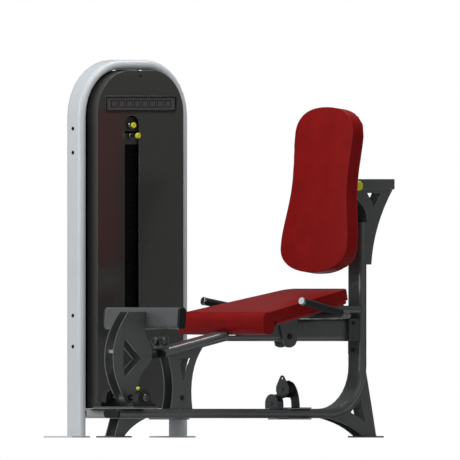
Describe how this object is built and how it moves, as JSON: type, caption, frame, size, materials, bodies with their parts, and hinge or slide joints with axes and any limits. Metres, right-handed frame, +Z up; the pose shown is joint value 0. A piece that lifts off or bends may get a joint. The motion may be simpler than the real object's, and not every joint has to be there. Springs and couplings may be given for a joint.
{
  "type": "leg extension machine",
  "caption": "Selectorised leg machine: cushioned seat and back on a tube frame, a bow lever with a foot bar near the floor, and a shrouded weight tower.",
  "frame": {"origin": "on the floor, at the middle of the machine's footprint box", "axes": "+X from the foot bar to the backrest, +Y from the seat to the weight tower, +Z up"},
  "size_m": [1.549, 1.1972, 1.511],
  "materials": {
    "graphite_paint": "satin graphite powder coat",
    "silver_paint": "satin silver powder coat",
    "zinc_plate": "dull zinc-grey plate",
    "cast_iron": "dark painted casting",
    "weight_iron": "black painted iron",
    "black_plastic": "moulded black plastic",
    "black_rubber": "matte black rubber",
    "bright_steel": "bright turned steel",
    "red_vinyl": "glossy red upholstery vinyl",
    "red_board": "red edged backing board",
    "shroud_plastic": "glossy warm grey sheet",
    "badge_plate": "plain brushed badge, dark border",
    "yellow_plastic": "glossy yellow plastic"
  },
  "bodies": {
    "frame": {"base_tube": "graphite_paint", "base_front_cap": "black_plastic", "post_top_cap": "black_plastic", "front_foot": "graphite_paint", "rear_foot": "graphite_paint", "cross_tube": "graphite_paint", "lever_platform": "graphite_paint", "pillow_block_left": "cast_iron", "pillow_block_right": "cast_iron", "grease_nipple_left": "yellow_plastic", "grease_nipple_right": "cast_iron", "front_gusset_left": "graphite_paint", "front_gusset_right": "graphite_paint", "sloped_rail": "graphite_paint", "sloped_rail_cap": "black_plastic", "stop_bumper_left": "zinc_plate", "stop_bumper_right": "zinc_plate", "lever_buffer": "black_rubber", "seat_rail": "graphite_paint", "rear_rail": "graphite_paint", "seat_carrier": "graphite_paint", "seat_board": "red_board", "seat_pad": "red_vinyl", "handle_bar": "graphite_paint", "grip_left": "black_rubber", "grip_right": "black_rubber", "grip_cap_left": "bright_steel", "grip_cap_right": "bright_steel", "back_bracket_left": "graphite_paint", "back_bracket_right": "graphite_paint", "back_sleeve": "graphite_paint", "pop_pin_barrel": "bright_steel", "lower_pulley_bracket": "zinc_plate", "upper_pulley_bracket": "zinc_plate", "tower_frame": "silver_paint", "front_shroud": "shroud_plastic", "rear_shroud": "shroud_plastic", "badge": "badge_plate", "guide_rods": "bright_steel", "fixed_weights": "weight_iron"},
    "lever": {"lever_plate_left": "graphite_paint", "lever_plate_right": "graphite_paint", "lever_hub": "graphite_paint", "lever_spacer": "bright_steel", "pivot_shaft": "bright_steel", "foot_bar": "graphite_paint", "foot_bar_cap_left": "black_plastic", "foot_bar_cap_right": "black_plastic"},
    "backrest": {"back_slide": "graphite_paint", "back_board": "red_board", "back_pad": "red_vinyl"},
    "pop_pin": {"pop_pin": "yellow_plastic"},
    "weights": {"lifted_weights": "weight_iron", "head_plate": "weight_iron", "add_on_weight": "weight_iron"},
    "selector_pin": {"selector_pin": "yellow_plastic"},
    "add_on_pin": {"add_on_pin": "yellow_plastic"},
    "lower_pulley": {"lower_pulley": "black_plastic"},
    "upper_pulley": {"upper_pulley": "black_plastic"},
    "top_pulley": {"top_pulley": "black_plastic"}
  },
  "joints": [
    {"name": "weight_lift", "type": "slide", "parent": "frame", "child": "weights", "axis": [0, 0, 1], "range_m": [0, 0.025]},
    {"name": "lever_press", "type": "hinge", "parent": "frame", "child": "lever", "pos_m": [-0.6585, -0.29036, 0.16], "axis": [0, -1, 0], "range_deg": [0, 20]},
    {"name": "backrest_slide", "type": "slide", "parent": "frame", "child": "backrest", "axis": [1, 0, 0], "range_m": [-0.1, 0.05]},
    {"name": "pop_pin_pull", "type": "slide", "parent": "frame", "child": "pop_pin", "axis": [0, -1, 0], "range_m": [0, 0.012], "stiffness_N_per_m": 600, "springref_m": -0.004},
    {"name": "selector_pin_pull", "type": "slide", "parent": "weights", "child": "selector_pin", "axis": [0, -1, 0], "range_m": [0, 0.03]},
    {"name": "add_on_pin_pull", "type": "slide", "parent": "weights", "child": "add_on_pin", "axis": [0, -1, 0], "range_m": [0, 0.012]},
    {"name": "lower_pulley_spin", "type": "hinge", "parent": "frame", "child": "lower_pulley", "pos_m": [0.148, -0.29036, 0.137], "axis": [1, 0, 0], "range_deg": [0, 60]},
    {"name": "upper_pulley_spin", "type": "hinge", "parent": "frame", "child": "upper_pulley", "pos_m": [0.2135, -0.29036, 0.194], "axis": [1, 0, 0], "range_deg": [-55, 0]},
    {"name": "top_pulley_spin", "type": "hinge", "parent": "frame", "child": "top_pulley", "pos_m": [0.0015, 0.44564, 1.438], "axis": [0, 1, 0], "range_deg": [0, 75]}
  ],
  "couplings": [
    {"joint": "lever_press", "follows": "weight_lift", "rad_per_m": 13.961},
    {"joint": "lower_pulley_spin", "follows": "weight_lift", "rad_per_m": 40},
    {"joint": "upper_pulley_spin", "follows": "weight_lift", "rad_per_m": -35.7},
    {"joint": "top_pulley_spin", "follows": "weight_lift", "rad_per_m": 50}
  ]
}
